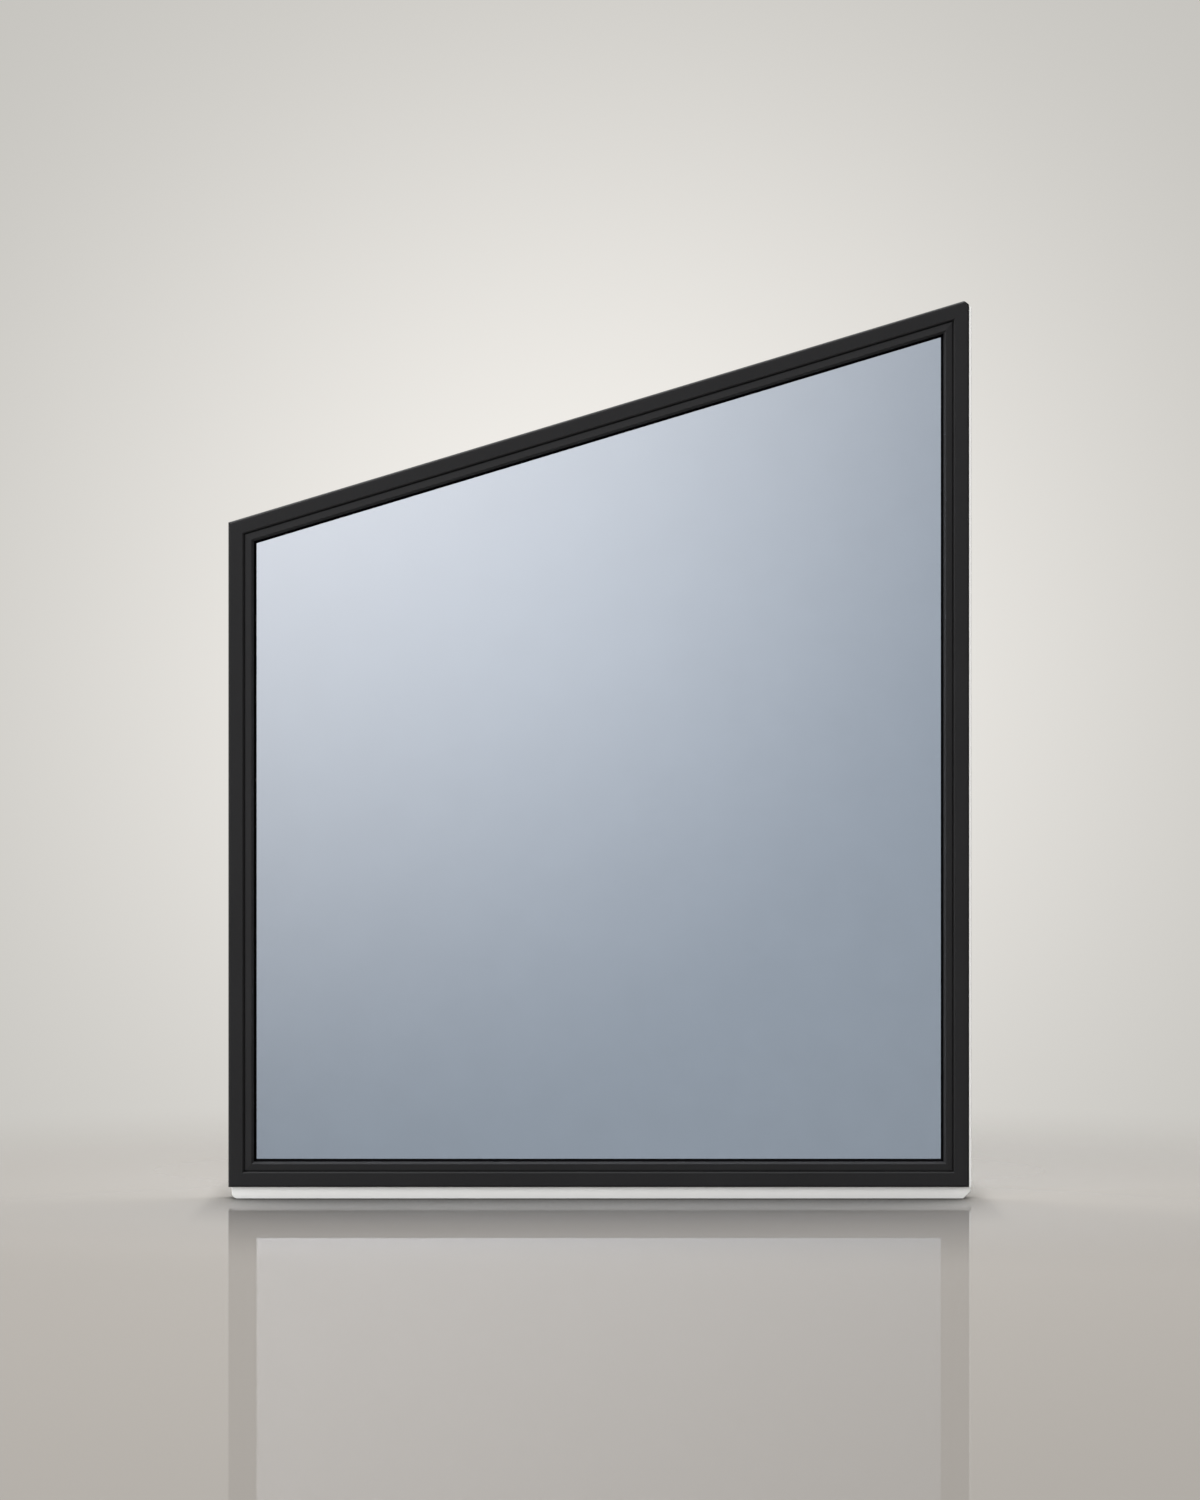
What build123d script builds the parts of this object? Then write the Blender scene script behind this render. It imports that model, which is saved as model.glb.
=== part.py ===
"""Fixed storm window with a raked head.

A mitred master frame of black aluminium holds one glazed panel, which sits behind the frame's
front lip on a weatherstrip and is kept there by clips on the room side. The panel is a second
mitred frame with one sheet of tinted glass in a wrap-round gasket. A white expander closes the
gap under the sill and a white filler strip lies along the taller jamb.

X is to the right seen from outside, -Y is outdoors, +Z is up. Y = 0 is the back of the master
frame, which rests on the opening's stop. Sections are drawn with x inwards from the frame's
outer edge and y outwards from that back plane.
"""

import os

from build123d import *

# Outline of the master frame, to its sharp corners
frame_width = 1219.0
left_height = 1094.0
right_height = 1461.0

# Master frame extrusion
box_width = 18.0
frame_depth = 38.0
outer_wall = 3.0
master_wall = 2.0
lip_reach = 7.4
lip_thickness = 3.0
outer_edge_radius = 4.5
lip_bevel = 2.0
back_edge_radius = 0.8
tip_cut = 7.2  # the sharp upper corner is ground back this far along its mitre
tip_fill = 16.0  # and its chambers are welded full over this length

# Fixing holes through the jambs, and weep slots through the sill
hole_radius = 2.5
hole_out = 7.0
hole_end_distance = 120.0
hole_inner_spacing = 300.0
weep_length = 22.0
weep_width = 4.0
weep_out = 19.0
weep_end_distance = 400.0

# Glazed panel extrusion
panel_gap = 2.0
reveal_groove = 1.6
weather_gap = 5.0
panel_depth = 13.5
panel_wall = 2.0
nose_width = 14.5
nose_low = 4.2
nose_high = 5.6
nose_bevel = 3.5
nose_bevel_drop = 4.0
nose_groove_radius = 1.5
nose_bevel_radius = 0.4
back_bevel = 1.5

# Glass, gasket and weatherstrip
glass_thickness = 4.0
channel_setback = 0.5
channel_depth = 9.0
gasket_cheek = 2.5
gasket_web = 3.0
gasket_lip = 4.2
gasket_lip_tip = 0.8
strip_width = 4.0
strip_setback = 0.8
strip_radius = 1.5
strip_bore_radius = 1.0

# Clips and setting blocks
clip_thickness = 2.0
clip_length = 24.0
clip_stand = 12.0
clip_reach = 14.0
clip_bend_radius = 2.6
clip_corner_radius = 4.0
clip_hole_radius = 2.2
clip_end_distance = 220.0
block_length = 60.0
block_depth = 10.0
block_end_distance = 300.0

# White expander under the sill and filler strip on the right jamb
expander_height = 19.5
expander_setback = 8.0
expander_wall = 2.0
expander_clearance = 0.2
expander_left_inset = 5.0
expander_left_radius = 10.0
expander_right_chamfer = 13.0
expander_edge_radius = 1.2
drain_length = 14.0
drain_end_distance = 160.0
fin_thickness = 3.0
fin_reach = 12.0
fin_end = 30.0
filler_thickness = 3.8
filler_width = 16.0
filler_setback = 1.0
filler_edge_radius = 0.8
filler_top_gap = 12.0

# Places that follow from the sizes above
face_width = box_width + lip_reach
lip_back = frame_depth - lip_thickness
panel_edge = box_width + panel_gap
nose_edge = face_width + reveal_groove
panel_inner = nose_edge + nose_width
flange_front = lip_back - weather_gap
panel_back = flange_front - panel_depth
channel_front = flange_front - channel_setback
channel_back = channel_front - glass_thickness - 2 * gasket_cheek
channel_floor = panel_inner - channel_depth
glass_edge = channel_floor + gasket_web
glass_back = channel_back + gasket_cheek
gasket_end = panel_inner + gasket_lip
expander_front = frame_depth - expander_setback
fin_front = expander_front - expander_wall - expander_clearance
fin_back = fin_front - fin_thickness
expander_back = fin_back - expander_clearance - expander_wall
filler_front = frame_depth - filler_setback
bottom = -box_width / 2

# The four sides, counter-clockwise seen from outside, and the mitres between them
outward = Vector(0, -1, 0)
corners = [
    Vector(-frame_width / 2, 0, bottom),
    Vector(frame_width / 2, 0, bottom),
    Vector(frame_width / 2, 0, bottom + right_height),
    Vector(-frame_width / 2, 0, bottom + left_height),
]
sill, right, head, left = range(4)
runs = [corners[(i + 1) % 4] - corners[i] for i in range(4)]
travels = [run.normalized() for run in runs]
inwards = [outward.cross(travel) for travel in travels]
sides = [Plane(corners[i], x_dir=inwards[i], z_dir=travels[i]) for i in range(4)]
mitres = [Plane(corners[i], z_dir=travels[i - 1] + travels[i]) for i in range(4)]
bisector = (inwards[right] + inwards[head]).normalized()
tip = Plane(corners[head] + bisector * tip_cut, z_dir=bisector)


def span(x_min, x_max, y_min, y_max, mode=Mode.ADD):
    """A rectangle in the current sketch, from its limits."""
    with Locations(((x_min + x_max) / 2, (y_min + y_max) / 2)):
        Rectangle(x_max - x_min, y_max - y_min, mode=mode)


def nearest(x, y):
    """The corner of the current sketch at a point of the section."""
    return vertices().sort_by_distance((x, y, 0))[0]


def master_chamber(mode=Mode.ADD):
    span(outer_wall, box_width - master_wall, master_wall, lip_back, mode=mode)


def master_section():
    with BuildSketch() as section:
        span(0, box_width, 0, frame_depth)
        span(0, face_width, lip_back, frame_depth)
        fillet(nearest(0, frame_depth), outer_edge_radius)
        chamfer(nearest(face_width, frame_depth), lip_bevel)
        fillet([nearest(0, 0), nearest(box_width, 0)], back_edge_radius)
        master_chamber(mode=Mode.SUBTRACT)
    return section.sketch


def panel_section():
    with BuildSketch() as section:
        with BuildLine():
            Polyline(
                (panel_edge, panel_back),
                (panel_inner - back_bevel, panel_back),
                (panel_inner, panel_back + back_bevel),
                (panel_inner, flange_front + nose_high - nose_bevel_drop),
                (panel_inner - nose_bevel, flange_front + nose_high),
                (nose_edge, flange_front + nose_low),
                (nose_edge, flange_front),
                (panel_edge, flange_front),
                close=True,
            )
        make_face()
        fillet(nearest(nose_edge, flange_front + nose_low), nose_groove_radius)
        fillet(nearest(panel_inner - nose_bevel, flange_front + nose_high), nose_bevel_radius)
        span(channel_floor, panel_inner, channel_back, channel_front, mode=Mode.SUBTRACT)
        span(
            panel_edge + panel_wall,
            channel_floor - panel_wall,
            panel_back + panel_wall,
            flange_front - panel_wall,
            mode=Mode.SUBTRACT,
        )
    return section.sketch


def gasket_section():
    with BuildSketch() as section:
        with BuildLine():
            Polyline(
                (channel_floor, channel_back),
                (panel_inner, channel_back),
                (gasket_end, glass_back - gasket_lip_tip),
                (gasket_end, glass_back + glass_thickness + gasket_lip_tip),
                (panel_inner, channel_front),
                (channel_floor, channel_front),
                close=True,
            )
        make_face()
        span(glass_edge, gasket_end, glass_back, glass_back + glass_thickness, mode=Mode.SUBTRACT)
    return section.sketch


def weatherstrip_section():
    strip_inner = face_width - strip_setback
    strip_outer = strip_inner - strip_width
    with BuildSketch() as section:
        span(strip_outer, strip_inner, flange_front, lip_back)
        fillet(
            [nearest(strip_outer, flange_front), nearest(strip_inner, flange_front)],
            strip_radius,
        )
        with Locations(((strip_outer + strip_inner) / 2, flange_front + strip_width / 2)):
            Circle(strip_bore_radius, mode=Mode.SUBTRACT)
    return section.sketch


def mitred_bar(section, side, fill_from=0, fill_length=0):
    """A section run along one side and cut on the mitres at both its corners."""
    with BuildPart() as bar:
        with BuildSketch(sides[side]):
            add(section)
        extrude(amount=runs[side].length)
        if fill_length:
            with BuildSketch(sides[side].offset(fill_from)):
                master_chamber()
            extrude(amount=fill_length)
        split(bisect_by=mitres[side], keep=Keep.TOP)
        split(bisect_by=mitres[(side + 1) % 4], keep=Keep.BOTTOM)
    return bar.part


def jamb_holes(side):
    """Places of the fixing holes along a jamb, from its lower or upper corner."""
    length = runs[side].length
    middle = length / 2
    return [
        hole_end_distance,
        middle - hole_inner_spacing / 2,
        middle + hole_inner_spacing / 2,
        length - hole_end_distance,
    ]


def master_jamb(side):
    """A jamb with its fixing holes; the right one shares the blunted corner with the head."""
    with BuildPart() as jamb:
        if side == right:
            add(mitred_bar(master, side, right_height - tip_fill, tip_fill))
            split(bisect_by=tip, keep=Keep.TOP)
        else:
            add(mitred_bar(master, side))
        wall_side = Plane(corners[side], x_dir=travels[side], z_dir=inwards[side])
        with BuildSketch(wall_side):
            with Locations(*[(place, -hole_out) for place in jamb_holes(side)]):
                Circle(hole_radius)
        extrude(amount=box_width, mode=Mode.SUBTRACT)
    return jamb.part


def master_head():
    with BuildPart() as bar:
        add(mitred_bar(master, head, fill_length=tip_fill))
        split(bisect_by=tip, keep=Keep.TOP)
    return bar.part


def master_sill():
    """The sill, with the fin that carries the expander and the slots that let water out."""
    with BuildPart() as bar:
        add(mitred_bar(master, sill))
        underside = Plane(corners[sill], x_dir=travels[sill], z_dir=inwards[sill])
        with BuildSketch(underside):
            span(fin_end, frame_width - fin_end, -fin_front, -fin_back)
        extrude(amount=-fin_reach)
        with BuildSketch(underside):
            with Locations(
                (weep_end_distance, -weep_out), (frame_width - weep_end_distance, -weep_out)
            ):
                SlotOverall(weep_length, weep_width)
        extrude(amount=box_width, mode=Mode.SUBTRACT)
    return bar.part


def glass():
    with BuildPart() as pane:
        with BuildSketch(Plane.XZ.offset(glass_back)):
            Polygon(*[(corner.X, corner.Z) for corner in corners], align=None)
            offset(amount=-glass_edge, kind=Kind.INTERSECTION)
        extrude(amount=glass_thickness)
    return pane.part


def clip(side, place):
    """An angle on the master frame's inner wall, with one leg over the back of the panel."""
    with BuildPart() as angle:
        with BuildSketch(sides[side].offset(place - clip_length / 2)):
            span(box_width, box_width + clip_reach, panel_back - clip_thickness, panel_back)
            span(box_width, box_width + clip_thickness, panel_back - clip_stand, panel_back)
            inner_bend = (box_width + clip_thickness, panel_back - clip_thickness)
            fillet(nearest(*inner_bend), clip_bend_radius)
        extrude(amount=clip_length)
        leg_end = faces().sort_by(Axis(corners[side], inwards[side]))[-1]
        fillet(leg_end.edges().filter_by(Axis.Y), clip_corner_radius)
        wall_side = Plane(corners[side], x_dir=travels[side], z_dir=inwards[side])
        hole_place = panel_back - (clip_stand + clip_thickness + clip_bend_radius) / 2
        with BuildSketch(wall_side.offset(box_width)):
            with Locations((place, -hole_place)):
                Circle(clip_hole_radius)
        extrude(amount=clip_thickness, mode=Mode.SUBTRACT)
    return angle.part


def setting_block(place):
    with BuildPart() as block:
        with BuildSketch(sides[sill].offset(place - block_length / 2)):
            middle = (panel_back + flange_front) / 2
            span(box_width, panel_edge, middle - block_depth / 2, middle + block_depth / 2)
        extrude(amount=block_length)
    return block.part


def sill_expander():
    """A channel pushed up over the sill's fin, its lower corners rounded off and cut away."""
    low = bottom - expander_height
    start = -frame_width / 2 + expander_left_inset
    end = frame_width / 2 + filler_thickness
    with BuildPart() as channel:
        with BuildSketch(Plane.XZ.offset(expander_back)):
            span(start, end, low, bottom)
            fillet(nearest(start, low), expander_left_radius)
            chamfer(nearest(end, low), expander_right_chamfer)
        extrude(amount=expander_front - expander_back)
        face_edges = faces().sort_by(Axis.Y)[0].edges().sort_by(Axis.Z)
        fillet(face_edges[:-1], expander_edge_radius)
        with BuildSketch(Plane.XZ.offset(expander_back + expander_wall)):
            span(start, end, low + expander_wall, bottom)
            for place in (start + drain_end_distance, end - drain_end_distance):
                span(place - drain_length / 2, place + drain_length / 2, low, bottom)
        extrude(amount=fin_thickness + 2 * expander_clearance, mode=Mode.SUBTRACT)
    return channel.part


def jamb_filler():
    with BuildPart() as strip:
        with BuildSketch(sides[right]):
            span(-filler_thickness, 0, filler_front - filler_width, filler_front)
            outer = [
                nearest(-filler_thickness, filler_front - filler_width),
                nearest(-filler_thickness, filler_front),
            ]
            fillet(outer, filler_edge_radius)
        extrude(amount=right_height - filler_top_gap)
    return strip.part


def save(part, name):
    part.label = name
    export_step(part, f"parts/{name}.step")


os.makedirs("parts", exist_ok=True)

master = master_section()
save(master_sill(), "master_sill")
save(master_jamb(right), "master_right_jamb")
save(master_head(), "master_head")
save(master_jamb(left), "master_left_jamb")

panel = panel_section()
gasket = gasket_section()
weatherstrip = weatherstrip_section()
for side, where in ((sill, "bottom"), (right, "right"), (head, "top"), (left, "left")):
    member = "rail" if side in (sill, head) else "stile"
    save(mitred_bar(panel, side), f"panel_{where}_{member}")
    save(mitred_bar(gasket, side), f"glazing_gasket_{where}")
    save(mitred_bar(weatherstrip, side), f"weatherstrip_{where}")
    save(clip(side, clip_end_distance), f"clip_{where}_1")
    save(clip(side, runs[side].length - clip_end_distance), f"clip_{where}_2")

save(glass(), "glass_pane")
save(setting_block(block_end_distance), "setting_block_left")
save(setting_block(frame_width - block_end_distance), "setting_block_right")
save(sill_expander(), "sill_expander")
save(jamb_filler(), "jamb_filler_strip")
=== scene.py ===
"""Storm window with a raked head: finishes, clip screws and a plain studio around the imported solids."""

import math

import bpy
from mathutils import Matrix, Vector


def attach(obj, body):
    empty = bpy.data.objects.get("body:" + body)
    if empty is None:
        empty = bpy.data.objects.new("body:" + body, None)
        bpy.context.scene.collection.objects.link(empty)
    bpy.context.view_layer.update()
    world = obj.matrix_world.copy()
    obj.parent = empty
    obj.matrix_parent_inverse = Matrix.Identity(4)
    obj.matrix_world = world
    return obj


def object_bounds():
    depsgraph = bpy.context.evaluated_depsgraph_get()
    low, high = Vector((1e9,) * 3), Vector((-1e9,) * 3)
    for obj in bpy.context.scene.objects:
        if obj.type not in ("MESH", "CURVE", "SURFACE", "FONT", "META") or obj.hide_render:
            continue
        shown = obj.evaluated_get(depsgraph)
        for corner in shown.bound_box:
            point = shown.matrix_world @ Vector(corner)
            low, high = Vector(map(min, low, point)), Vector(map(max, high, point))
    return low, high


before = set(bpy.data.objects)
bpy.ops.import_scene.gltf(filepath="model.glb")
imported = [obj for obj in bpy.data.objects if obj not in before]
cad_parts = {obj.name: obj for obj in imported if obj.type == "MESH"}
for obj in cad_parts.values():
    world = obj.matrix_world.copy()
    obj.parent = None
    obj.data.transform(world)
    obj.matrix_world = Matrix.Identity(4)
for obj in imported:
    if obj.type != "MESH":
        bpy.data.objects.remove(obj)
cad_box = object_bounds()

bl_info = {
    "name": "Raked storm window",
    "version": (1, 0, 0),
    "blender": (4, 5, 0),
    "location": "View3D > Sidebar > Storm window",
    "description": "Finishes and fasteners of a storm window with a sloping head",
    "category": "Object",
}

MM = 0.001
SIDES = ("bottom", "right", "top", "left")
MASTER_NODES = ("master_sill", "master_right_jamb", "master_head", "master_left_jamb")
PANEL_NODES = ("panel_bottom_rail", "panel_right_stile", "panel_top_rail", "panel_left_stile")
CLIP_NODES = tuple(f"clip_{side}_{number}" for side in SIDES for number in (1, 2))
RUBBER_NODES = tuple(f"{piece}_{side}" for piece in ("glazing_gasket", "weatherstrip") for side in SIDES)
BLOCK_NODES = ("setting_block_left", "setting_block_right")
X_AXIS, Z_AXIS = 0, 2
OUTDOORS = Vector((0, -1, 0))

# Patches of the studio: direction seen from the window, then the angles in degrees where a patch
# starts to fade and where it is gone. The glow starts to fade before its middle, so it has no flat top.
GLOW_PATCH = ((0, 1, 0.031), -1.4, 14.7)
DARK_PATCH = ((0, -1, 0), 25.0, 75.0)
CARD_PATCH = ((-0.139, -1, 0.182), 0.0, 18.0)
SKYLIGHT_PATCH = ((-0.5, 0, 0.86), 20.0, 55.0)

# Light of the patches, and of the soft fill that turns from front to back beside the window
NO_LIGHT = (0.0, 0.0, 0.0)
DARK_LIGHT = (0.05, 0.05, 0.05)
SKYLIGHT_LIGHT = (7.0, 7.0, 7.0)
FRONT_FILL = (0.18, 0.18, 0.18)
BACK_FILL = (0.9, 0.88, 0.85)
FILL_TURN = 0.4

# Floor, in metres: each pair says where a change starts and where it is complete
FLOOR_SIDE = 16.0
FLOOR_MIDDLE = (0.0, -1.2, 0.0)
FLOOR_FADE = (1.25, 2.9)
POLISH_FADE = (1.4, 2.6)
POLISH_WEAR = (0.1, 0.9)
SHADE_ENDS = (0.58, 0.66)
SHADE_REACH = 0.35

# Floor, as shares: polish left near the window and away from it, how open the darkest painted shade is,
# and the floor's colour in it. The painted shade is found by occlusion looked for in a direction that leans
# towards the window.
POLISH_LEFT = (0.82, 0.31)
SHADE_OPEN = 0.42
PAINTED_SHADE_COLOUR = 0.1
SHADE_LEAN = (0.0, 0.75, 0.66)

# Soft lamps: name, place, width, height and power in watts, all aimed at the window's middle
LAMP_AIM = (0, 0, 0.7)
LAMPS = (
    ("left_key", (-7.2, -6.2, 1.3), 2.8, 2.8, 530),
    ("top_key", (-0.8, -3.6, 3.6), 2.6, 2.2, 115),
    ("top_rim", (0.2, 0.7, 3.8), 3.0, 1.0, 170),
)


def linear_rgb(hex_code):
    """sRGB hex colour, such as 2B2B2C, as linear red, green and blue."""
    channels = [int(hex_code[i : i + 2], 16) / 255 for i in (0, 2, 4)]
    return tuple(c / 12.92 if c <= 0.04045 else ((c + 0.055) / 1.055) ** 2.4 for c in channels)


def toned(colour, share):
    """A colour made darker or lighter by a share."""
    return tuple(c * share for c in colour)


def add_node(tree, kind, settings=None, inputs=None):
    """A new node with its settings, and its inputs set to values or linked to other nodes' outputs."""
    node = tree.nodes.new(kind)
    for name, value in (settings or {}).items():
        setattr(node, name, value)
    for name, value in (inputs or {}).items():
        socket = node.inputs[name]
        if isinstance(value, bpy.types.NodeSocket):
            tree.links.new(value, socket)
        elif isinstance(value, tuple) and len(value) == 3 and socket.type == "RGBA":
            socket.default_value = (*value, 1.0)
        else:
            socket.default_value = value
    return node


def new_material(name):
    """An empty material and its node tree."""
    material = bpy.data.materials.new(name)
    material.use_nodes = True
    material.node_tree.nodes.clear()
    return material, material.node_tree


def give(material, nodes):
    """Puts a material on carried-over solids."""
    for name in nodes:
        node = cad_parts[name]
        node.data.materials.clear()
        node.data.materials.append(material)


class StormWindowFinish(bpy.types.PropertyGroup):
    """Colours and surface sizes of the window's finishes."""

    coat: bpy.props.FloatVectorProperty(
        name="Powder coat",
        description="Colour of the satin black coat on the frame and the clips",
        subtype="COLOR",
        default=linear_rgb("242425"),
    )
    panel_coat: bpy.props.FloatVectorProperty(
        name="Panel coat",
        description="Colour of the slightly paler coat on the glazed panel",
        subtype="COLOR",
        default=linear_rgb("272728"),
    )
    coat_peel: bpy.props.FloatProperty(
        name="Coat texture",
        description="Width of the coat's fine orange-peel bumps",
        unit="LENGTH",
        default=1.3 * MM,
    )
    gasket: bpy.props.FloatVectorProperty(
        name="Gasket",
        description="Colour of the glazing gasket and weatherstrip rubber",
        subtype="COLOR",
        default=linear_rgb("030304"),
    )
    glass: bpy.props.FloatVectorProperty(
        name="Glass tint",
        description="Colour of light that has passed through the pane",
        subtype="COLOR",
        default=linear_rgb("AEBCCF"),
    )
    vinyl: bpy.props.FloatVectorProperty(
        name="White vinyl",
        description="Colour of the sill expander and the jamb filler strip",
        subtype="COLOR",
        default=linear_rgb("EAEAE8"),
    )
    nylon: bpy.props.FloatVectorProperty(
        name="Nylon",
        description="Colour of the setting blocks",
        subtype="COLOR",
        default=linear_rgb("2E2F31"),
    )
    zinc: bpy.props.FloatVectorProperty(
        name="Black zinc",
        description="Colour of the clip screws",
        subtype="COLOR",
        default=linear_rgb("5A5C60"),
    )


class StormWindowHardware(bpy.types.PropertyGroup):
    """Sizes that place and shape the clip screws."""

    clip_end: bpy.props.FloatProperty(
        name="Clip distance", description="From a corner to a clip", unit="LENGTH", default=220 * MM
    )
    clip_face: bpy.props.FloatProperty(
        name="Clip face",
        description="From the frame's outer edge in to the clip's screwed face",
        unit="LENGTH",
        default=20 * MM,
    )
    screw_out: bpy.props.FloatProperty(
        name="Screw distance",
        description="From the back of the frame out to the screw's axis",
        unit="LENGTH",
        default=8.2 * MM,
    )
    head_radius: bpy.props.FloatProperty(
        name="Screw head radius",
        description="Radius of the clip screw's pan head",
        unit="LENGTH",
        default=3.6 * MM,
    )
    head_height: bpy.props.FloatProperty(
        name="Screw head height",
        description="Height of the clip screw's pan head",
        unit="LENGTH",
        default=2.3 * MM,
    )
    shank_radius: bpy.props.FloatProperty(
        name="Screw shank radius",
        description="Radius of the shank in the clip's hole",
        unit="LENGTH",
        default=2.0 * MM,
    )
    shank_length: bpy.props.FloatProperty(
        name="Screw shank length",
        description="Length of the shank under the head",
        unit="LENGTH",
        default=1.9 * MM,
    )


class StormWindowStage(bpy.types.PropertyGroup):
    """The plain studio and the camera."""

    distance: bpy.props.FloatProperty(
        name="Camera distance", description="From the window's face", unit="LENGTH", default=6.0
    )
    eye_height: bpy.props.FloatProperty(
        name="Camera height", description="Above the sill's middle", unit="LENGTH", default=0.7104
    )
    eye_side: bpy.props.FloatProperty(
        name="Camera side", description="To the right of the middle", unit="LENGTH", default=2.1 * MM
    )
    view_height: bpy.props.FloatProperty(
        name="Height in view",
        description="What the picture spans at the window",
        unit="LENGTH",
        default=2.467,
    )
    floor: bpy.props.FloatVectorProperty(
        name="Floor",
        description="Colour of the studio floor",
        subtype="COLOR",
        default=linear_rgb("918D88"),
    )
    backdrop: bpy.props.FloatVectorProperty(
        name="Backdrop",
        description="Colour of the studio backdrop",
        subtype="COLOR",
        default=linear_rgb("C6C4BF"),
    )
    glow: bpy.props.FloatVectorProperty(
        name="Backdrop glow",
        description="Colour of the backdrop where it is lit, behind the window's head",
        subtype="COLOR",
        default=linear_rgb("F8F5F0"),
    )
    card: bpy.props.FloatVectorProperty(
        name="Reflected card",
        description="Light of the soft card that the pane mirrors at its upper left",
        default=(5.4, 5.25, 5.3),
    )


# Polyester powder, sprayed on aluminium and baked: the eye gets a satin black that is slightly uneven
# where the film is thicker, with a fine orange peel close up.
def powder_coat(name, colour):
    """Satin black powder coat of the frame, the panel and the clips."""
    finish = bpy.context.scene.window_finish
    film_patch = 140 * MM
    peel_height = 0.12 * MM
    material, tree = new_material(name)
    place = add_node(tree, "ShaderNodeTexCoord").outputs["Object"]
    film = add_node(
        tree, "ShaderNodeTexNoise", inputs={"Vector": place, "Scale": 1 / film_patch, "Detail": 3.0}
    )
    tone = add_node(
        tree,
        "ShaderNodeMix",
        {"data_type": "RGBA"},
        {"Factor": film.outputs["Fac"], "A": toned(colour, 0.86), "B": toned(colour, 1.12)},
    )
    sheen = add_node(
        tree,
        "ShaderNodeMapRange",
        inputs={"Value": film.outputs["Fac"], "To Min": 0.48, "To Max": 0.58},
    )
    peel = add_node(
        tree,
        "ShaderNodeTexNoise",
        inputs={"Vector": place, "Scale": 1 / finish.coat_peel, "Detail": 2.0, "Roughness": 0.55},
    )
    skin = add_node(
        tree,
        "ShaderNodeBump",
        inputs={"Height": peel.outputs["Fac"], "Strength": 0.5, "Distance": peel_height},
    )
    coat = add_node(
        tree,
        "ShaderNodeBsdfPrincipled",
        inputs={
            "Base Color": tone.outputs["Result"],
            "Roughness": sheen.outputs["Result"],
            "IOR": 1.5,
            "Specular IOR Level": 0.14,
            "Normal": skin.outputs["Normal"],
        },
    )
    add_node(tree, "ShaderNodeOutputMaterial", inputs={"Surface": coat.outputs["BSDF"]})
    return material


# EPDM rubber, extruded and cured: the eye gets a dull black that swallows light, with a faint bloom
# and a fine grain.
def gasket_rubber():
    """Black rubber of the glazing gaskets and the weatherstrips."""
    finish = bpy.context.scene.window_finish
    bloom_patch = 35 * MM
    grain_width = 0.6 * MM
    grain_height = 0.04 * MM
    material, tree = new_material("extruded_epdm_rubber")
    place = add_node(tree, "ShaderNodeTexCoord").outputs["Object"]
    bloom = add_node(
        tree, "ShaderNodeTexNoise", inputs={"Vector": place, "Scale": 1 / bloom_patch, "Detail": 4.0}
    )
    tone = add_node(
        tree,
        "ShaderNodeMix",
        {"data_type": "RGBA"},
        {
            "Factor": bloom.outputs["Fac"],
            "A": toned(finish.gasket, 0.7),
            "B": toned(finish.gasket, 1.3),
        },
    )
    grain = add_node(
        tree, "ShaderNodeTexNoise", inputs={"Vector": place, "Scale": 1 / grain_width, "Detail": 2.0}
    )
    dullness = add_node(
        tree,
        "ShaderNodeMapRange",
        inputs={"Value": bloom.outputs["Fac"], "To Min": 0.6, "To Max": 0.78},
    )
    skin = add_node(
        tree,
        "ShaderNodeBump",
        inputs={"Height": grain.outputs["Fac"], "Strength": 0.2, "Distance": grain_height},
    )
    rubber = add_node(
        tree,
        "ShaderNodeBsdfPrincipled",
        inputs={
            "Base Color": tone.outputs["Result"],
            "Roughness": dullness.outputs["Result"],
            "IOR": 1.48,
            "Specular IOR Level": 0.04,
            "Normal": skin.outputs["Normal"],
        },
    )
    add_node(tree, "ShaderNodeOutputMaterial", inputs={"Surface": rubber.outputs["BSDF"]})
    return material


# Float glass, tinted in the melt and given a hard coat: the eye gets a clear blue-grey with a barely
# clouded tint and a sharp mirror image.
def tinted_glass():
    """Blue-grey tinted glass of the pane."""
    finish = bpy.context.scene.window_finish
    tint_patch = 70 * MM
    hard_coat_ior = 2.0  # the hard coat mirrors more than plain glass, which has 1.52
    passed_light = (0.66, 0.69, 0.74)
    material, tree = new_material("tinted_float_glass")
    place = add_node(tree, "ShaderNodeTexCoord").outputs["Object"]
    cloud = add_node(
        tree, "ShaderNodeTexNoise", inputs={"Vector": place, "Scale": 1 / tint_patch, "Detail": 3.0}
    )
    body = add_node(
        tree,
        "ShaderNodeMix",
        {"data_type": "RGBA"},
        {
            "Factor": cloud.outputs["Fac"],
            "A": toned(finish.glass, 0.96),
            "B": toned(finish.glass, 1.02),
        },
    )
    pane = add_node(
        tree,
        "ShaderNodeBsdfPrincipled",
        inputs={
            "Base Color": body.outputs["Result"],
            "Roughness": 0.0,
            "IOR": hard_coat_ior,
            "Transmission Weight": 1.0,
        },
    )
    lit = add_node(tree, "ShaderNodeBsdfTransparent", inputs={"Color": passed_light})
    ray = add_node(tree, "ShaderNodeLightPath")
    either = add_node(
        tree,
        "ShaderNodeMixShader",
        inputs={0: ray.outputs["Is Shadow Ray"], 1: pane.outputs["BSDF"], 2: lit.outputs["BSDF"]},
    )
    add_node(tree, "ShaderNodeOutputMaterial", inputs={"Surface": either.outputs["Shader"]})
    return material


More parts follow.
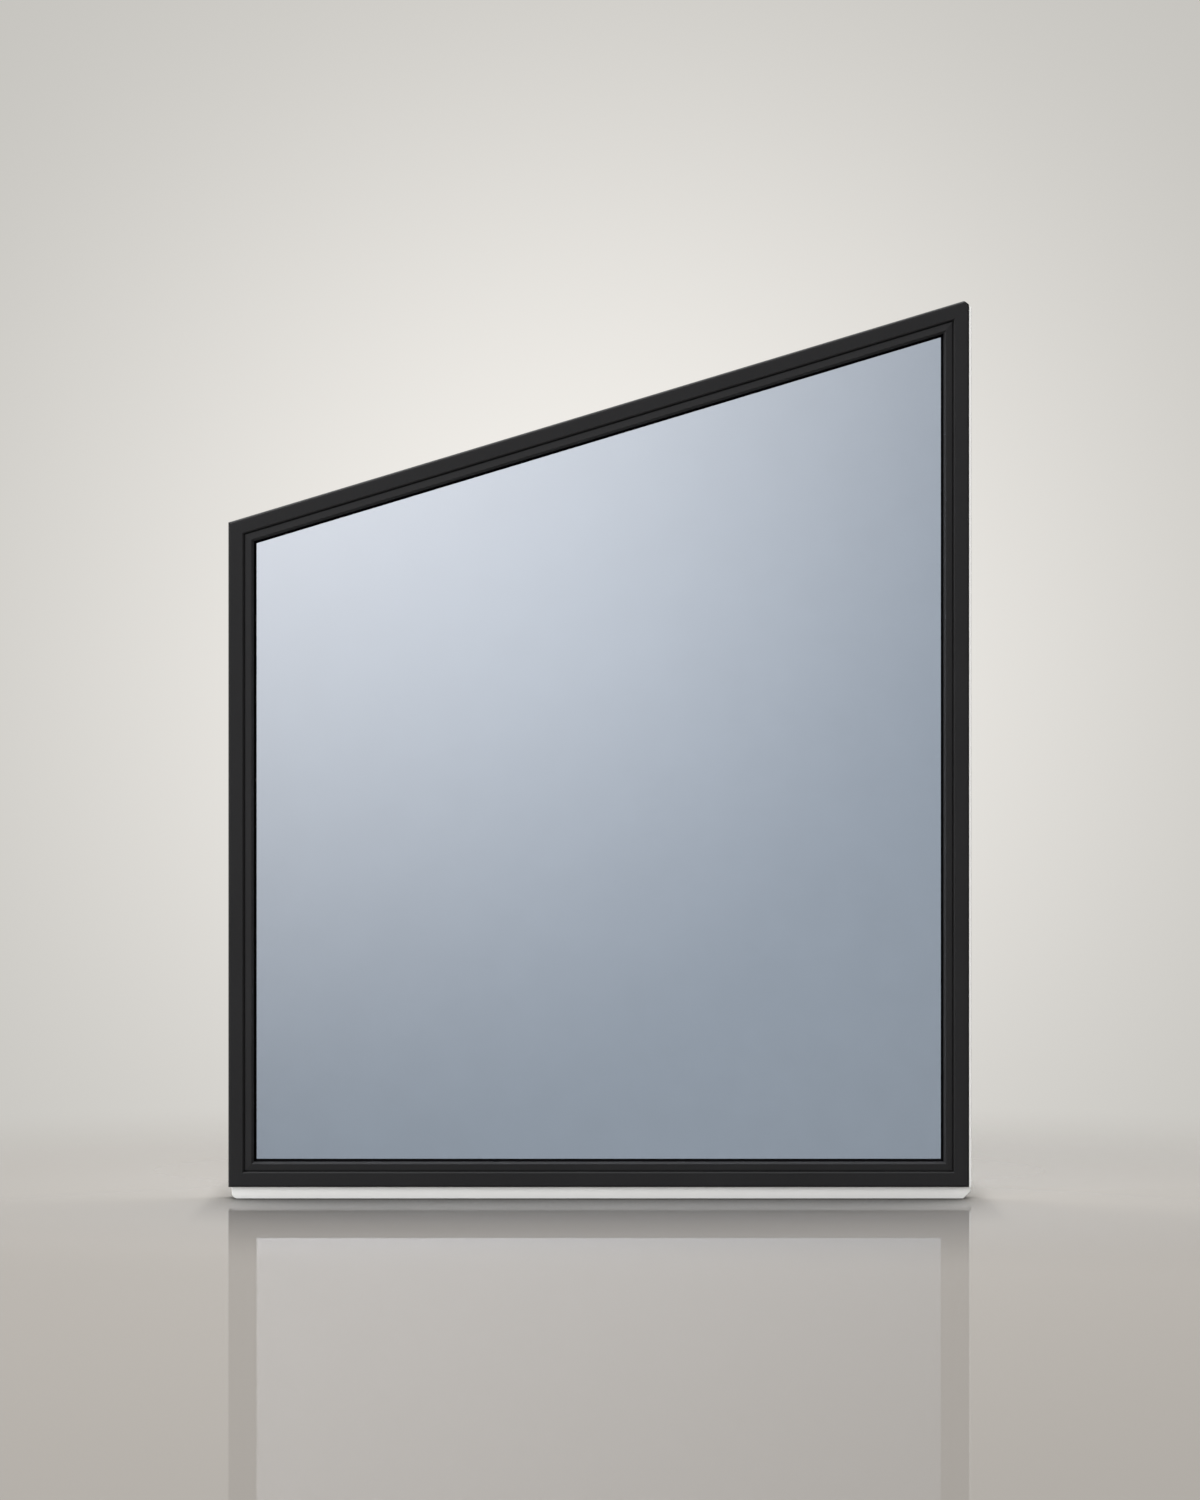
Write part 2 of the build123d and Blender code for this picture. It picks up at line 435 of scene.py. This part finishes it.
# Rigid PVC, extruded: the eye gets a soft satin white with faint die lines along the length. Real die
# lines are a few tenths of a millimetre wide, and are drawn coarser so that they show.
def white_vinyl(name, along):
    """White vinyl of a strip that runs along an axis."""
    finish = bpy.context.scene.window_finish
    line_width = 1.5 * MM
    line_length = 900 * MM
    line_height = 0.05 * MM
    cloud_patch = 60 * MM
    material, tree = new_material(name)
    place = add_node(tree, "ShaderNodeTexCoord").outputs["Object"]
    stretch = [1 / line_width] * 3
    stretch[along] = 1 / line_length
    drawn_out = add_node(tree, "ShaderNodeMapping", inputs={"Vector": place, "Scale": tuple(stretch)})
    lines = add_node(
        tree,
        "ShaderNodeTexNoise",
        inputs={"Vector": drawn_out.outputs["Vector"], "Scale": 1.0, "Detail": 2.0},
    )
    cloud = add_node(
        tree, "ShaderNodeTexNoise", inputs={"Vector": place, "Scale": 1 / cloud_patch, "Detail": 3.0}
    )
    tone = add_node(
        tree,
        "ShaderNodeMix",
        {"data_type": "RGBA"},
        {
            "Factor": cloud.outputs["Fac"],
            "A": toned(finish.vinyl, 0.94),
            "B": tuple(finish.vinyl),
        },
    )
    gloss = add_node(
        tree,
        "ShaderNodeMapRange",
        inputs={"Value": lines.outputs["Fac"], "To Min": 0.32, "To Max": 0.46},
    )
    skin = add_node(
        tree,
        "ShaderNodeBump",
        inputs={"Height": lines.outputs["Fac"], "Strength": 0.15, "Distance": line_height},
    )
    vinyl = add_node(
        tree,
        "ShaderNodeBsdfPrincipled",
        inputs={
            "Base Color": tone.outputs["Result"],
            "Roughness": gloss.outputs["Result"],
            "IOR": 1.53,
            "Normal": skin.outputs["Normal"],
        },
    )
    add_node(tree, "ShaderNodeOutputMaterial", inputs={"Surface": vinyl.outputs["BSDF"]})
    return material


# Nylon, moulded in a spark-eroded tool: the eye gets a dull dark grey with a fine grain.
def moulded_nylon():
    """Dark grey nylon of the setting blocks."""
    finish = bpy.context.scene.window_finish
    grain_width = 0.5 * MM
    grain_height = 0.05 * MM
    material, tree = new_material("moulded_nylon")
    place = add_node(tree, "ShaderNodeTexCoord").outputs["Object"]
    grain = add_node(
        tree, "ShaderNodeTexNoise", inputs={"Vector": place, "Scale": 1 / grain_width, "Detail": 2.0}
    )
    tone = add_node(
        tree,
        "ShaderNodeMix",
        {"data_type": "RGBA"},
        {
            "Factor": grain.outputs["Fac"],
            "A": toned(finish.nylon, 0.85),
            "B": toned(finish.nylon, 1.15),
        },
    )
    skin = add_node(
        tree,
        "ShaderNodeBump",
        inputs={"Height": grain.outputs["Fac"], "Strength": 0.3, "Distance": grain_height},
    )
    nylon = add_node(
        tree,
        "ShaderNodeBsdfPrincipled",
        inputs={
            "Base Color": tone.outputs["Result"],
            "Roughness": 0.62,
            "IOR": 1.53,
            "Normal": skin.outputs["Normal"],
        },
    )
    add_node(tree, "ShaderNodeOutputMaterial", inputs={"Surface": nylon.outputs["BSDF"]})
    return material


# Steel, zinc-plated and passivated black: the eye gets a dark metal that glints, slightly clouded.
def zinc_plate():
    """Black zinc-plated steel of the clip screws."""
    finish = bpy.context.scene.window_finish
    cloud_patch = 1.5 * MM
    material, tree = new_material("black_zinc_plated_steel")
    place = add_node(tree, "ShaderNodeTexCoord").outputs["Object"]
    cloud = add_node(
        tree, "ShaderNodeTexNoise", inputs={"Vector": place, "Scale": 1 / cloud_patch, "Detail": 4.0}
    )
    tone = add_node(
        tree,
        "ShaderNodeMix",
        {"data_type": "RGBA"},
        {
            "Factor": cloud.outputs["Fac"],
            "A": toned(finish.zinc, 0.8),
            "B": tuple(finish.zinc),
        },
    )
    dullness = add_node(
        tree,
        "ShaderNodeMapRange",
        inputs={"Value": cloud.outputs["Fac"], "To Min": 0.24, "To Max": 0.42},
    )
    zinc = add_node(
        tree,
        "ShaderNodeBsdfPrincipled",
        inputs={
            "Base Color": tone.outputs["Result"],
            "Metallic": 1.0,
            "Roughness": dullness.outputs["Result"],
        },
    )
    add_node(tree, "ShaderNodeOutputMaterial", inputs={"Surface": zinc.outputs["BSDF"]})
    return material


class STORM_OT_coat_frame(bpy.types.Operator):
    """Powder-coats the master frame, the panel's frame and the clips"""

    bl_idname = "storm_window.coat_frame"
    bl_label = "Coat the frame"

    def execute(self, context):
        finish = context.scene.window_finish
        give(powder_coat("powder_coat_satin_black", finish.coat), MASTER_NODES + CLIP_NODES)
        give(powder_coat("powder_coat_panel_black", finish.panel_coat), PANEL_NODES)
        return {"FINISHED"}


class STORM_OT_glaze(bpy.types.Operator):
    """Gives the pane its glass, the gaskets and weatherstrips their rubber and the blocks their nylon"""

    bl_idname = "storm_window.glaze"
    bl_label = "Glaze the panel"

    def execute(self, context):
        give(gasket_rubber(), RUBBER_NODES)
        give(tinted_glass(), ["glass_pane"])
        give(moulded_nylon(), BLOCK_NODES)
        return {"FINISHED"}


class STORM_OT_white_trim(bpy.types.Operator):
    """Gives the sill expander and the jamb filler strip their white vinyl"""

    bl_idname = "storm_window.white_trim"
    bl_label = "Fit the white trim"

    def execute(self, context):
        give(white_vinyl("extruded_white_pvc_sill", X_AXIS), ["sill_expander"])
        give(white_vinyl("extruded_white_pvc_jamb", Z_AXIS), ["jamb_filler_strip"])
        return {"FINISHED"}


def only(piece):
    """Selects one object and makes it active."""
    bpy.ops.object.select_all(action="DESELECT")
    piece.select_set(True)
    bpy.context.view_layer.objects.active = piece


def pan_head_screw():
    """One cross-recess pan-head screw at the origin, its head standing up from the plane z = 0."""
    size = bpy.context.scene.window_hardware
    rim = size.head_height * 0.9  # edges above this are the head's upper rim
    dome = size.head_height * 0.55
    recess = (size.head_radius * 1.15, size.head_radius * 0.22, size.head_height * 0.95)
    bpy.ops.object.select_all(action="DESELECT")
    bpy.ops.mesh.primitive_cylinder_add(
        vertices=32,
        radius=size.head_radius,
        depth=size.head_height,
        location=(0, 0, size.head_height / 2),
    )
    screw = bpy.context.object
    bpy.ops.object.transform_apply(location=True, rotation=True, scale=True)
    bpy.ops.object.mode_set(mode="EDIT")
    bpy.ops.mesh.select_mode(type="EDGE")
    bpy.ops.mesh.select_all(action="DESELECT")
    bpy.ops.object.mode_set(mode="OBJECT")
    for edge in screw.data.edges:
        edge.select = all(screw.data.vertices[i].co.z > rim for i in edge.vertices)
    bpy.ops.object.mode_set(mode="EDIT")
    bpy.ops.mesh.bevel(offset=dome, segments=5, profile=0.5)
    bpy.ops.mesh.select_mode(type="FACE")
    bpy.ops.mesh.select_all(action="DESELECT")
    bpy.ops.object.mode_set(mode="OBJECT")
    for face in screw.data.polygons:
        face.select = face.normal.z < -0.9  # the head's flat underside
    bpy.ops.object.mode_set(mode="EDIT")
    bpy.ops.mesh.inset(thickness=size.head_radius - size.shank_radius)
    bpy.ops.mesh.extrude_region_move(TRANSFORM_OT_translate={"value": (0, 0, -size.shank_length)})
    bpy.ops.object.mode_set(mode="OBJECT")

    for turn in (0, math.pi / 2):
        bpy.ops.object.select_all(action="DESELECT")
        bpy.ops.mesh.primitive_cube_add(
            size=1, location=(0, 0, size.head_height), rotation=(0, 0, turn), scale=recess
        )
        cutter = bpy.context.object
        bpy.ops.object.transform_apply(location=True, rotation=True, scale=True)
        only(screw)
        slot = screw.modifiers.new("cross_recess", "BOOLEAN")
        slot.operation = "DIFFERENCE"
        slot.solver = "EXACT"
        slot.object = cutter
        bpy.ops.object.modifier_apply(modifier=slot.name)
        bpy.data.objects.remove(cutter)
    only(screw)
    bpy.ops.object.shade_smooth_by_angle(angle=math.radians(35))
    return screw


def frame_corners():
    """The frame's four sharp outer corners, in the order of the sides, from the carried-over solids."""
    sill, left_jamb, head = (
        [vertex.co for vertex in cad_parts[name].data.vertices]
        for name in ("master_sill", "master_left_jamb", "master_head")
    )
    left = min(point.x for point in sill)
    right = max(point.x for point in sill)
    low = min(point.z for point in left_jamb)
    short = max(point.z for point in left_jamb)
    # The tall corner is blunted, so the head's slope is carried on from its highest point.
    peak = max(head, key=lambda point: point.z)
    slope = (peak.z - short) / (peak.x - left)
    tall = short + slope * (right - left)
    return [Vector((x, 0, z)) for x, z in ((left, low), (right, low), (right, tall), (left, short))]


def side_frames():
    """For each side: its start corner, its direction, its length and the direction into the window."""
    corners = frame_corners()
    frames = {}
    for i, side in enumerate(SIDES):
        run = corners[(i + 1) % len(corners)] - corners[i]
        along = run.normalized()
        frames[side] = (corners[i], along, run.length, OUTDOORS.cross(along))
    return frames


class STORM_OT_clip_screws(bpy.types.Operator):
    """Drives one pan-head screw through each clip into the master frame"""

    bl_idname = "storm_window.clip_screws"
    bl_label = "Drive the clip screws"

    def execute(self, context):
        size = context.scene.window_hardware
        pattern = pan_head_screw()
        pattern.data.materials.clear()
        pattern.data.materials.append(zinc_plate())
        for side, (corner, along, length, inward) in side_frames().items():
            for number, place in ((1, size.clip_end), (2, length - size.clip_end)):
                only(pattern)
                bpy.ops.object.duplicate(linked=False)
                screw = bpy.context.object
                screw.name = f"clip_screw_{side}_{number}"
                seat = corner + along * place + inward * size.clip_face
                seat.y = -size.screw_out
                across = inward.cross(along)
                turn = Matrix((along, -across, inward)).transposed().to_4x4()
                screw.matrix_world = Matrix.Translation(seat) @ turn
                bpy.ops.object.transform_apply(location=True, rotation=True, scale=True)
                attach(screw, "root")
        bpy.data.objects.remove(pattern)
        return {"FINISHED"}


# Painted board under a thin worn polish: the eye gets a pale floor with a painted shade in front of the
# window, a faint mirror image that is strongest at the window, and no far edge.
def studio_floor():
    """Pale polished floor of the studio."""
    stage = bpy.context.scene.window_stage
    material, tree = new_material("studio_floor")
    place = add_node(tree, "ShaderNodeTexCoord").outputs["Object"]
    across, depth, _ = add_node(tree, "ShaderNodeSeparateXYZ", inputs={"Vector": place}).outputs
    aside = add_node(tree, "ShaderNodeMath", {"operation": "ABSOLUTE"}, {0: across}).outputs["Value"]
    away = add_node(tree, "ShaderNodeMath", {"operation": "ABSOLUTE"}, {0: depth}).outputs["Value"]

    # Painted shade: occlusion darkens the floor's colour in front of the window, and the shade ends at its
    # jambs.
    painted_contact_shade = add_node(
        tree,
        "ShaderNodeAmbientOcclusion",
        {"samples": 8},
        {"Color": (1.0, 1.0, 1.0), "Distance": SHADE_REACH, "Normal": SHADE_LEAN},
    )
    unshaded = add_node(
        tree,
        "ShaderNodeMapRange",
        inputs={"Value": painted_contact_shade.outputs["AO"], "From Min": SHADE_OPEN, "From Max": 1.0},
    )
    past_ends = add_node(
        tree,
        "ShaderNodeMapRange",
        {"interpolation_type": "SMOOTHSTEP"},
        {"Value": aside, "From Min": SHADE_ENDS[0], "From Max": SHADE_ENDS[1]},
    )
    painted_shade_open = add_node(
        tree,
        "ShaderNodeMath",
        {"operation": "MAXIMUM"},
        {0: unshaded.outputs["Result"], 1: past_ends.outputs["Result"]},
    ).outputs["Value"]
    # Painted shade: the floor's colour goes darker where the occlusion finds the window close.
    tone = add_node(
        tree,
        "ShaderNodeMix",
        {"data_type": "RGBA"},
        {"Factor": painted_shade_open, "A": toned(stage.floor, PAINTED_SHADE_COLOUR), "B": tuple(stage.floor)},
    )
    paint = add_node(
        tree, "ShaderNodeBsdfDiffuse", inputs={"Color": tone.outputs["Result"], "Roughness": 0.3}
    )

    # The polish mirrors more at a slant, and less where it is worn, in the painted shade or far off.
    polish = add_node(
        tree, "ShaderNodeBsdfGlossy", inputs={"Color": (1.0, 1.0, 1.0), "Roughness": 0.025}
    )
    reach = add_node(
        tree, "ShaderNodeVectorMath", {"operation": "DISTANCE"}, {0: place, 1: FLOOR_MIDDLE}
    ).outputs["Value"]
    shine = add_node(
        tree,
        "ShaderNodeMapRange",
        {"interpolation_type": "SMOOTHSTEP"},
        {
            "Value": reach,
            "From Min": POLISH_FADE[0],
            "From Max": POLISH_FADE[1],
            "To Min": 1.0,
            "To Max": 0.0,
        },
    )
    slant = add_node(tree, "ShaderNodeFresnel", inputs={"IOR": 1.45})
    wear = add_node(
        tree,
        "ShaderNodeMapRange",
        {"interpolation_type": "SMOOTHSTEP"},
        {
            "Value": away,
            "From Min": POLISH_WEAR[0],
            "From Max": POLISH_WEAR[1],
            "To Min": POLISH_LEFT[0],
            "To Max": POLISH_LEFT[1],
        },
    )
    mirror = shine.outputs["Result"]
    for share in (slant.outputs["Fac"], wear.outputs["Result"], painted_shade_open):
        mirror = add_node(
            tree, "ShaderNodeMath", {"operation": "MULTIPLY"}, {0: mirror, 1: share}
        ).outputs["Value"]
    waxed = add_node(
        tree,
        "ShaderNodeMixShader",
        inputs={0: mirror, 1: paint.outputs["BSDF"], 2: polish.outputs["BSDF"]},
    )

    # The floor fades into the backdrop, and gloss and glass show the backdrop in its place.
    fade = add_node(
        tree,
        "ShaderNodeMapRange",
        {"interpolation_type": "SMOOTHSTEP"},
        {"Value": reach, "From Min": FLOOR_FADE[0], "From Max": FLOOR_FADE[1]},
    )
    path = add_node(tree, "ShaderNodeLightPath")
    unseen = fade.outputs["Result"]
    for kind_of_ray in ("Is Glossy Ray", "Is Transmission Ray"):
        unseen = add_node(
            tree, "ShaderNodeMath", {"operation": "MAXIMUM"}, {0: unseen, 1: path.outputs[kind_of_ray]}
        ).outputs["Value"]
    gone = add_node(tree, "ShaderNodeBsdfTransparent")
    ground = add_node(
        tree,
        "ShaderNodeMixShader",
        inputs={0: unseen, 1: waxed.outputs["Shader"], 2: gone.outputs["BSDF"]},
    )
    add_node(tree, "ShaderNodeOutputMaterial", inputs={"Surface": ground.outputs["Shader"]})
    return material


def studio_world():
    """Beige backdrop lit behind the window's head, with a dark room, a soft card and a skylight to mirror."""
    stage = bpy.context.scene.window_stage
    world = bpy.data.worlds.new("studio")
    bpy.context.scene.world = world
    world.use_nodes = True
    tree = world.node_tree
    tree.nodes.clear()
    ray = add_node(tree, "ShaderNodeTexCoord").outputs["Generated"]

    def patch(place, outside, inside):
        """One colour inside a patch of the studio and another outside it, with a soft edge."""
        direction, inner, outer = place
        aim = add_node(
            tree,
            "ShaderNodeVectorMath",
            {"operation": "DOT_PRODUCT"},
            {0: ray, 1: tuple(Vector(direction).normalized())},
        )
        angle = add_node(
            tree, "ShaderNodeMath", {"operation": "ARCCOSINE"}, {0: aim.outputs["Value"]}
        )
        nearness = add_node(
            tree,
            "ShaderNodeMapRange",
            {"interpolation_type": "SMOOTHSTEP"},
            {
                "Value": angle.outputs["Value"],
                "From Min": math.radians(inner),
                "From Max": math.radians(outer),
                "To Min": 1.0,
                "To Max": 0.0,
            },
        )
        return add_node(
            tree,
            "ShaderNodeMix",
            {"data_type": "RGBA"},
            {"Factor": nearness.outputs["Result"], "A": outside, "B": inside},
        ).outputs["Result"]

    # What the camera sees, and what shows through the glass
    backdrop = patch(GLOW_PATCH, tuple(stage.backdrop), tuple(stage.glow))

    # What gloss mirrors
    mirrored = patch(DARK_PATCH, backdrop, DARK_LIGHT)
    for bright in (
        patch(CARD_PATCH, NO_LIGHT, tuple(stage.card)),
        patch(SKYLIGHT_PATCH, NO_LIGHT, SKYLIGHT_LIGHT),
    ):
        mirrored = add_node(
            tree, "ShaderNodeVectorMath", {"operation": "ADD"}, {0: mirrored, 1: bright}
        ).outputs["Vector"]

    # What fills the shadows
    depth = add_node(tree, "ShaderNodeSeparateXYZ", inputs={"Vector": ray}).outputs["Y"]
    behind = add_node(
        tree,
        "ShaderNodeMapRange",
        inputs={"Value": depth, "From Min": -FILL_TURN, "From Max": FILL_TURN},
    )
    fill = add_node(
        tree,
        "ShaderNodeMix",
        {"data_type": "RGBA"},
        {"Factor": behind.outputs["Result"], "A": FRONT_FILL, "B": BACK_FILL},
    )

    path = add_node(tree, "ShaderNodeLightPath")
    shown = add_node(
        tree,
        "ShaderNodeMath",
        {"operation": "MAXIMUM"},
        {0: path.outputs["Is Camera Ray"], 1: path.outputs["Is Transmission Ray"]},
    )
    unseen = add_node(
        tree,
        "ShaderNodeMix",
        {"data_type": "RGBA"},
        {"Factor": path.outputs["Is Glossy Ray"], "A": fill.outputs["Result"], "B": mirrored},
    )
    scenery = add_node(
        tree,
        "ShaderNodeMix",
        {"data_type": "RGBA"},
        {"Factor": shown.outputs["Value"], "A": unseen.outputs["Result"], "B": backdrop},
    )
    light = add_node(
        tree, "ShaderNodeBackground", inputs={"Color": scenery.outputs["Result"], "Strength": 1.0}
    )
    add_node(tree, "ShaderNodeOutputWorld", inputs={"Surface": light.outputs["Background"]})


def softbox(name, place, width, height, power):
    """A rectangular soft lamp, aimed at the window's middle and mirrored by nothing."""
    lamp = bpy.data.lights.new(name, "AREA")
    lamp.shape = "RECTANGLE"
    lamp.size = width
    lamp.size_y = height
    lamp.energy = power
    box = bpy.data.objects.new(name, lamp)
    bpy.context.scene.collection.objects.link(box)
    box.visible_camera = False
    box.visible_glossy = False
    box.location = place
    box.rotation_euler = (Vector(LAMP_AIM) - Vector(place)).to_track_quat("-Z", "Y").to_euler()


class STORM_OT_stage(bpy.types.Operator):
    """Lays the floor, hangs the lamps and sets the camera square on to the window"""

    bl_idname = "storm_window.stage"
    bl_label = "Set the stage"

    def execute(self, context):
        stage = context.scene.window_stage
        face, low = cad_box[0][1:]
        bpy.ops.object.select_all(action="DESELECT")
        bpy.ops.mesh.primitive_plane_add(size=FLOOR_SIDE, location=(0, 0, low))
        floor = context.object
        floor.name = "studio_floor"
        bpy.ops.object.transform_apply(location=True, rotation=True, scale=True)
        floor.data.materials.append(studio_floor())
        studio_world()
        for lamp in LAMPS:
            softbox(*lamp)

        lens = bpy.data.cameras.new("camera")
        lens.lens = lens.sensor_width * stage.distance / stage.view_height
        camera = bpy.data.objects.new("camera", lens)
        context.scene.collection.objects.link(camera)
        camera.location = (stage.eye_side, face - stage.distance, stage.eye_height)
        camera.rotation_euler = (math.pi / 2, 0, 0)
        context.scene.camera = camera
        context.scene.view_settings.view_transform = "Standard"
        return {"FINISHED"}


class STORM_PT_panel(bpy.types.Panel):
    """Lists the steps that dress the window"""

    bl_idname = "STORM_PT_panel"
    bl_label = "Storm window"
    bl_space_type = "VIEW_3D"
    bl_region_type = "UI"
    bl_category = "Storm window"

    def draw(self, context):
        scene = context.scene
        for step in STEPS:
            self.layout.operator(step.bl_idname)
        for group in (scene.window_finish, scene.window_hardware, scene.window_stage):
            for name in group.bl_rna.properties.keys():
                if name not in ("rna_type", "name"):
                    self.layout.prop(group, name)


GROUPS = (StormWindowFinish, StormWindowHardware, StormWindowStage)
STEPS = (
    STORM_OT_coat_frame,
    STORM_OT_glaze,
    STORM_OT_white_trim,
    STORM_OT_clip_screws,
    STORM_OT_stage,
)
CLASSES = GROUPS + STEPS + (STORM_PT_panel,)


def register():
    for cls in CLASSES:
        bpy.utils.register_class(cls)
    bpy.types.Scene.window_finish = bpy.props.PointerProperty(type=StormWindowFinish)
    bpy.types.Scene.window_hardware = bpy.props.PointerProperty(type=StormWindowHardware)
    bpy.types.Scene.window_stage = bpy.props.PointerProperty(type=StormWindowStage)


def unregister():
    del bpy.types.Scene.window_finish
    del bpy.types.Scene.window_hardware
    del bpy.types.Scene.window_stage
    for cls in reversed(CLASSES):
        bpy.utils.unregister_class(cls)


def main():
    register()
    bpy.ops.storm_window.coat_frame()
    bpy.ops.storm_window.glaze()
    bpy.ops.storm_window.white_trim()
    bpy.ops.storm_window.clip_screws()
    bpy.ops.storm_window.stage()


if __name__ == "__main__":
    main()
